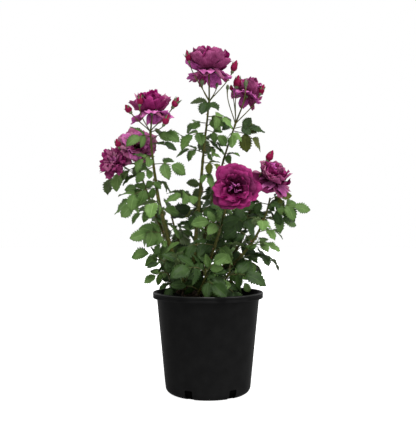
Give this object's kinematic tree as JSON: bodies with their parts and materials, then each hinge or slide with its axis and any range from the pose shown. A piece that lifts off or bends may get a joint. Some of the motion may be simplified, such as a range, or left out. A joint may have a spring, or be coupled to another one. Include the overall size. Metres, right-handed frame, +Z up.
{
  "type": "potted rose bush",
  "caption": "Flowering shrub rose with several canes, compound leaves, double blooms and buds, standing in a round tapered nursery pot.",
  "frame": {"origin": "centre of the pot's flat underside", "axes": "+Z up along the pot's axis to the top bloom, -Y towards the front of the plant, +X to its right"},
  "size_m": [0.4482, 0.3481, 0.7217],
  "materials": {
    "pot_plastic": "black moulded plastic, satin to matt, with faint vertical drawing marks",
    "potting_mix": "moist dark bark and peat crumb",
    "old_bark": "rough brown bark",
    "green_cane": "smooth green stem flushed red, with prickles",
    "leaf": "satin green leaf with toothed edge, paler below",
    "petal": "velvety magenta purple petal, paler mauve on the back"
  },
  "bodies": {
    "root": {"cane_centre": "green_cane", "cane_front": "green_cane", "cane_left": "green_cane", "cane_left_rear": "green_cane", "cane_rear_left": "green_cane", "cane_rear_right": "green_cane", "cane_right": "green_cane", "cane_right_inner": "green_cane", "cane_right_rear": "green_cane", "leaves_basal_front_all": "leaf", "leaves_basal_front_left_all": "leaf", "leaves_basal_front_right_all": "leaf", "leaves_basal_left_all": "leaf", "leaves_basal_left_rear_all": "leaf", "leaves_basal_rear_all": "leaf", "leaves_basal_right_all": "leaf", "leaves_basal_right_rear_all": "leaf", "leaves_centre_low": "leaf", "leaves_centre_mid": "leaf", "leaves_centre_top": "leaf", "leaves_front_top": "leaf", "leaves_left_low": "leaf", "leaves_left_rear_top": "leaf", "leaves_left_top": "leaf", "leaves_rear_left_low": "leaf", "leaves_rear_left_top": "leaf", "leaves_rear_right_low": "leaf", "leaves_rear_right_top": "leaf", "leaves_right_inner_top": "leaf", "leaves_right_low": "leaf", "leaves_right_rear_low": "leaf", "leaves_right_rear_top": "leaf", "leaves_right_top": "leaf", "pot": "pot_plastic", "potting_mix": "potting_mix", "roses_centre": "petal", "roses_front": "petal", "roses_left": "petal", "roses_left_rear": "petal", "roses_right_inner": "petal", "roses_right_rear": "petal", "trunk": "old_bark"}
  },
  "joints": []
}
